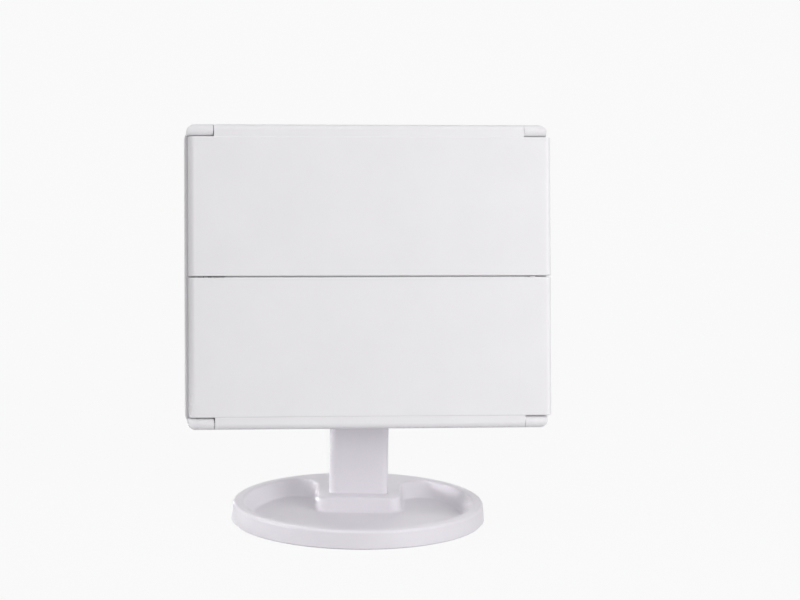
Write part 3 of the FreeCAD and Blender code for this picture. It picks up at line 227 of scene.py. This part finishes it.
def mirror():
    """Silvered glass: a bright face with faint wipe marks, and a pale green edge."""
    finish = Finish("mirror")
    ahead = HEAD.to_3x3() @ Vector((0.0, -1.0, 0.0))
    face = finish.spread(finish.facing(ahead), 0.0, 1.0, 0.5, 0.8)
    wipes = finish.mottle(30.0, 5.0, 0.6, place=finish.stretched(finish.in_head(), 1.0, 1.0, 3.0))
    silver = finish.tones(wipes, (0.86, 0.875, 0.88), (0.90, 0.91, 0.915))
    sheen = finish.spread(wipes, 0.012, 0.045)
    finish.wear(base_color=finish.blend(face, (0.42, 0.56, 0.50), silver), metallic=face,
                roughness=finish.spread(face, 0.12, sheen, 0.0, 1.0), specular_ior_level=0.5, ior=1.52)
    return finish.bump(finish.mottle(12.0, 1.0), 0.02, 0.01 * MM).material


LAMPS_PER_STRIP = 12


def lamp_row(finish):
    """Distance along the strip from the nearest lamp, as a share of the lamps' spacing."""
    low, high = head_box("upper_diffuser")
    pitch = (high.x - low.x) / LAMPS_PER_STRIP
    along = finish.parts(finish.in_head())["X"]
    step = finish.work("DIVIDE", finish.work("SUBTRACT", along, low.x), pitch)
    return finish.work("ABSOLUTE", finish.work("SUBTRACT", finish.work("FRACT", step), 0.5))


def frosted():
    """Milky light strip: the lamps behind it show as soft warm spots."""
    finish = Finish("frosted")
    spot = finish.spread(lamp_row(finish), 1.0, 0.0, 0.06, 0.24)
    haze = finish.mottle(220.0, 4.0, 0.6)
    milk = finish.tones(haze, (0.84, 0.845, 0.84), (0.88, 0.88, 0.87))
    finish.wear(base_color=finish.blend(finish.work("MULTIPLY", spot, 0.45), milk, (0.89, 0.85, 0.66)),
                roughness=finish.spread(haze, 0.42, 0.55), specular_ior_level=0.4)
    return finish.bump(finish.mottle(4000.0, 2.0), 0.25, 0.04 * MM).material


def board(name, mask, track, tracks_per_metre):
    """Circuit board: solder mask over raised tracks, with fine glass weave in its tone."""
    finish = Finish(name)
    tracks = finish.add("ShaderNodeTexBrick", offset=0.5)
    finish.feed(tracks.inputs["Vector"], finish.in_head())
    tracks.inputs["Scale"].default_value = tracks_per_metre
    tracks.inputs["Mortar Size"].default_value = 0.06
    tracks.inputs["Mortar Smooth"].default_value = 0.2
    weave = finish.mottle(1500.0, 3.0)
    shade = finish.blend(finish.spread(weave, 0.0, 0.35), mask, tuple(0.8 * tone for tone in mask))
    finish.wear(base_color=finish.blend(tracks.outputs["Fac"], shade, track),
                roughness=finish.spread(weave, 0.28, 0.42))
    return finish.bump(tracks.outputs["Fac"], 0.4, 0.05 * MM).material


def board_green():
    return board("board_green", (0.03, 0.20, 0.09), (0.06, 0.32, 0.16), 160.0)


def board_white():
    return board("board_white", (0.84, 0.84, 0.82), (0.76, 0.76, 0.73), 90.0)


def lamp():
    """Surface lamp: a white cup round a yellow phosphor window."""
    finish = Finish("lamp")
    window = finish.spread(lamp_row(finish), 1.0, 0.0, 0.06, 0.085)
    grain = finish.mottle(2600.0, 3.0)
    phosphor = finish.tones(grain, (0.80, 0.66, 0.14), (0.88, 0.76, 0.24))
    finish.wear(base_color=finish.blend(window, (0.88, 0.88, 0.86), phosphor),
                roughness=finish.spread(grain, 0.2, 0.4))
    return finish.bump(grain, 0.1, 0.02 * MM).material


def lead_red():
    """Red lead insulation, faintly streaked where it was drawn."""
    finish = Finish("lead_red")
    drawn = finish.mottle(700.0, 3.0, place=finish.stretched(finish.in_head(), 1.0, 1.0, 0.1))
    finish.wear(base_color=finish.tones(drawn, (0.50, 0.045, 0.035), (0.62, 0.07, 0.055)),
                roughness=finish.spread(drawn, 0.35, 0.5))
    return finish.bump(drawn, 0.2, 0.03 * MM).material


def switch_black():
    return moulding("switch_black", (0.03, 0.03, 0.033), (0.02, 0.02, 0.022), 0.45, 0.08 * MM)


def mark_ink():
    """Pad-printed grey ink: a thin uneven film with a soft sheen."""
    finish = Finish("mark_ink")
    film = finish.mottle(5200.0, 3.0, 0.6)
    finish.wear(base_color=finish.tones(film, (0.20, 0.205, 0.22), (0.27, 0.275, 0.29)),
                roughness=finish.spread(film, 0.45, 0.6), specular_ior_level=0.4)
    return finish.bump(film, 0.2, 0.01 * MM).material


CELLS = 4
SHOULDER = 0.74


def cell_can():
    """Cell sleeves: dark film, a coppery shoulder at alternate ends and bare metal on the end faces."""
    finish = Finish("cell_can")
    low, high = head_box("battery_cells")
    place = finish.parts(finish.in_head())
    rise = finish.work("DIVIDE", finish.work("SUBTRACT", place["Z"], low.z), (high.z - low.z) / CELLS)
    flipped = finish.work("MODULO", finish.work("FLOOR", rise), 2.0)
    reach = finish.work("DIVIDE", finish.work("SUBTRACT", place["X"], low.x), high.x - low.x)
    reach = finish.work("ABSOLUTE", finish.work("SUBTRACT", reach, flipped))
    shoulder = finish.spread(reach, 0.0, 1.0, SHOULDER - 0.005, SHOULDER + 0.005)
    film = finish.mottle(500.0, 4.0)
    end_face = finish.spread(finish.facing(HEAD.to_3x3() @ Vector((1.0, 0.0, 0.0))), 0.0, 1.0, 0.7, 0.9)
    sleeve = finish.blend(shoulder, (0.035, 0.037, 0.045), (0.48, 0.26, 0.10))
    finish.wear(base_color=finish.blend(end_face, sleeve, (0.66, 0.66, 0.65)),
                metallic=finish.work("MAXIMUM", end_face, 0.35),
                roughness=finish.spread(film, 0.22, 0.36))
    return finish.bump(film, 0.1, 0.02 * MM).material


FINISHES = {make.__name__: make() for make in (
    white_shell, stand_shell, white_trim, grey_neck, pale_bearing, steel, rubber, mirror, frosted,
    board_green, board_white, lamp, lead_red, switch_black, mark_ink, cell_can)}

# The stand's shells take the greyer copy of the white, which holds painted shade in place of the stand's
# dimmer light.
STAND_SHELLS = ("base_tray", "plinth_cover", "stem_column", "stem_cap")

for part in frame["record"]["subparts"]:
    finish_name = "stand_shell" if part["node"] in STAND_SHELLS else part["material_slot"]
    for slot in NODES[part["node"]].material_slots:
        slot.material = FINISHES[finish_name]


# Print on the button

MARK_RADIUS = 2.1 * MM
MARK_LINE = 0.5 * MM
MARK_FILM = 0.06 * MM
MARK_SUNK = 0.02 * MM
MARK_OPENING = math.radians(76.0)
MARK_STEPS = 56
BAR_PLACE = 0.85 * MARK_RADIUS
BAR_LENGTH = 1.1 * MARK_RADIUS
BAR_ROUND = 0.45 * MARK_LINE


def power_mark():
    """An open ring with a short bar in its opening, upright when the head stands on its short side."""
    low, high = head_box("power_button")
    face = Vector(((low.x + high.x) / 2.0, low.y, (low.z + high.z) / 2.0))
    form = bmesh.new()
    inner, outer = MARK_RADIUS - MARK_LINE / 2.0, MARK_RADIUS + MARK_LINE / 2.0
    corners = ((inner, MARK_SUNK), (outer, MARK_SUNK), (outer, -MARK_FILM), (inner, -MARK_FILM))
    section = form.faces.new([form.verts.new((reach, depth, 0.0)) for reach, depth in corners])
    start = Matrix.Rotation(MARK_OPENING / 2.0, 3, "Y")
    bmesh.ops.rotate(form, verts=section.verts[:], cent=(0.0, 0.0, 0.0), matrix=start)
    bmesh.ops.spin(form, geom=[section, *section.edges, *section.verts], steps=MARK_STEPS,
                   cent=(0.0, 0.0, 0.0), axis=(0.0, 1.0, 0.0), dvec=(0.0, 0.0, 0.0),
                   angle=2.0 * math.pi - MARK_OPENING, use_merge=False)
    reach = Matrix.Translation((BAR_PLACE, (MARK_SUNK - MARK_FILM) / 2.0, 0.0))
    shape = Matrix.Diagonal((BAR_LENGTH, MARK_SUNK + MARK_FILM, MARK_LINE, 1.0))
    bar = bmesh.ops.create_cube(form, size=1.0, matrix=reach @ shape)["verts"]
    upright = [edge for edge in {edge for vertex in bar for edge in vertex.link_edges}
               if abs(edge.verts[0].co.y - edge.verts[1].co.y) > MARK_FILM / 2.0]
    bmesh.ops.bevel(form, geom=upright, offset=BAR_ROUND, segments=5, profile=0.5, affect="EDGES",
                    material=-1)
    bmesh.ops.recalc_face_normals(form, faces=form.faces[:])
    bmesh.ops.transform(form, matrix=HEAD @ Matrix.Translation(face), verts=form.verts[:])
    mesh = bpy.data.meshes.new("power_mark")
    form.to_mesh(mesh)
    form.free()
    mesh.materials.append(FINISHES["mark_ink"])
    mark = bpy.data.objects.new("power_mark", mesh)
    bpy.context.scene.collection.objects.link(mark)
    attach(mark, "button")


power_mark()


# Studio

BACKDROP = 0.95
FLOOR_HALF = 8.0
FLOOR_GREY = 0.52
FLOOR_NEAR, FLOOR_FAR = 0.4, 1.2
PAPER = 0.98
PAPER_SHARE = 0.95
ROOM_LEVEL = 0.3
ROOM_TINT = (1.0, 0.97, 1.02, 1.0)
DIM_AHEAD = 0.2
AHEAD_END, AHEAD_START = -0.85, -0.25
LOW_BEAM = math.radians(14.0)


def studio_floor():
    """A pale floor that keeps a soft shadow under the base and fades into the plain background."""
    form = bmesh.new()
    bmesh.ops.create_grid(form, x_segments=1, y_segments=1, size=FLOOR_HALF)
    mesh = bpy.data.meshes.new("floor")
    form.to_mesh(mesh)
    form.free()
    floor = bpy.data.objects.new("floor", mesh)
    bpy.context.scene.collection.objects.link(floor)
    finish = Finish("floor_paper")
    finish.wear(base_color=(FLOOR_GREY, FLOOR_GREY, FLOOR_GREY, 1.0), roughness=0.9,
                specular_ior_level=0.0)
    length = finish.add("ShaderNodeVectorMath", operation="LENGTH")
    finish.feed(length.inputs[0], finish.place)
    away = length.outputs["Value"]
    paper = finish.add("ShaderNodeEmission")
    finish.feed(paper.inputs["Strength"], finish.spread(away, PAPER, BACKDROP, FLOOR_NEAR, FLOOR_FAR))
    share = finish.spread(away, PAPER_SHARE, 1.0, FLOOR_NEAR, FLOOR_FAR)
    rays = finish.add("ShaderNodeLightPath").outputs
    seen = finish.work("MAXIMUM", rays["Is Camera Ray"], rays["Is Transmission Ray"])
    seen = finish.work("MAXIMUM", seen, rays["Is Glossy Ray"])
    mix = finish.add("ShaderNodeMixShader")
    finish.feed(mix.inputs["Fac"], finish.work("MULTIPLY", seen, share))
    finish.feed(mix.inputs[1], finish.shader.outputs["BSDF"])
    finish.feed(mix.inputs[2], paper.outputs["Emission"])
    finish.feed(finish.tree.nodes["Material Output"].inputs["Surface"], mix.outputs["Shader"])
    mesh.materials.append(finish.material)


def combine(tree, first, second, operation="MAXIMUM"):
    """Two outputs put together by a math node, which takes the larger one unless told otherwise."""
    node = tree.nodes.new("ShaderNodeMath")
    node.operation = operation
    tree.links.new(first, node.inputs[0])
    tree.links.new(second, node.inputs[1])
    return node.outputs[0]


def studio_room():
    """Soft light from all round and a plain background. Reflections see a darker room in front."""
    world = bpy.data.worlds.new("studio_room")
    world.use_nodes = True
    tree = world.node_tree
    room = tree.nodes["Background"]
    room.inputs["Color"].default_value = ROOM_TINT
    room.inputs["Strength"].default_value = ROOM_LEVEL
    backdrop = tree.nodes.new("ShaderNodeBackground")
    backdrop.inputs["Color"].default_value = (BACKDROP, BACKDROP, BACKDROP, 1.0)
    towards = tree.nodes.new("ShaderNodeSeparateXYZ")
    tree.links.new(tree.nodes.new("ShaderNodeTexCoord").outputs["Generated"], towards.inputs[0])
    ahead = tree.nodes.new("ShaderNodeMapRange")
    ahead.inputs["From Min"].default_value = AHEAD_END
    ahead.inputs["From Max"].default_value = AHEAD_START
    ahead.inputs["To Min"].default_value = DIM_AHEAD
    tree.links.new(towards.outputs["Y"], ahead.inputs["Value"])
    rays = tree.nodes.new("ShaderNodeLightPath").outputs
    mirrored = combine(tree, rays["Is Glossy Ray"], ahead.outputs["Result"], "MULTIPLY")
    seen = combine(tree, rays["Is Camera Ray"], rays["Is Transmission Ray"])
    mix = tree.nodes.new("ShaderNodeMixShader")
    tree.links.new(combine(tree, seen, mirrored), mix.inputs["Fac"])
    tree.links.new(room.outputs["Background"], mix.inputs[1])
    tree.links.new(backdrop.outputs["Background"], mix.inputs[2])
    tree.links.new(mix.outputs["Shader"], tree.nodes["World Output"].inputs["Surface"])
    bpy.context.scene.world = world


def soft_box(name, place, aim, width, height, watts, mirrored=True):
    """A lit rectangle turned to its aim. The camera doesn't see it, and reflections only if mirrored."""
    lamp_data = bpy.data.lights.new(name, "AREA")
    lamp_data.shape = "RECTANGLE"
    lamp_data.size = width
    lamp_data.size_y = height
    lamp_data.energy = watts
    box = bpy.data.objects.new(name, lamp_data)
    box.location = place
    box.rotation_euler = (Vector(aim) - Vector(place)).to_track_quat("-Z", "Y").to_euler()
    box.visible_camera = False
    box.visible_glossy = mirrored
    bpy.context.scene.collection.objects.link(box)
    return box


def studio_lamps():
    """Soft boxes all round, strongest on the right, and a low narrow one on the left for the tray."""
    middle, tray = (0.0, 0.0, 0.12), (0.03, 0.0, 0.008)
    soft_box("right_box", (1.05, -1.0, 0.55), middle, width=1.2, height=1.2, watts=13.4)
    soft_box("left_box", (-1.3, 0.0, 0.4), middle, width=1.0, height=0.8, watts=2.8)
    soft_box("top_box", (0.0, -0.2, 1.5), middle, width=1.4, height=1.4, watts=4.4)
    soft_box("front_box", (0.0, -2.4, 0.75), middle, width=1.4, height=1.0, watts=6.8, mirrored=False)
    soft_box("rear_box", (0.0, 2.4, 0.55), middle, width=1.6, height=0.5, watts=11.0, mirrored=False)
    low = soft_box("low_box", (-0.72, 0.0, 0.128), tray, width=0.3, height=0.06, watts=0.042,
                   mirrored=False)
    low.data.spread = LOW_BEAM


CAMERA_AIM = Vector((0.0243, 0.0, 0.13843))
CAMERA_REACH = 2.15
CAMERA_DOWN = math.radians(10.41)
CAMERA_TIP = math.radians(0.762)
SENSOR_MM, LENS_MM = 36.0, 158.08


def photograph_camera():
    """The photograph's view: straight from the front, a little above and tipped a little."""
    lens = bpy.data.cameras.new("camera")
    lens.sensor_fit = "HORIZONTAL"
    lens.sensor_width = SENSOR_MM
    lens.lens = LENS_MM
    lens.clip_end = 50.0
    camera = bpy.data.objects.new("camera", lens)
    outwards = Vector((0.0, -math.cos(CAMERA_DOWN), math.sin(CAMERA_DOWN)))
    camera.location = CAMERA_AIM + CAMERA_REACH * outwards
    level = Matrix.Rotation(math.pi / 2.0 - CAMERA_DOWN, 3, "X")
    camera.rotation_euler = (level @ Matrix.Rotation(CAMERA_TIP, 3, "Z")).to_euler()
    bpy.context.scene.collection.objects.link(camera)
    bpy.context.scene.camera = camera


studio_floor()
studio_room()
studio_lamps()
photograph_camera()
bpy.context.scene.view_settings.view_transform = "Standard"
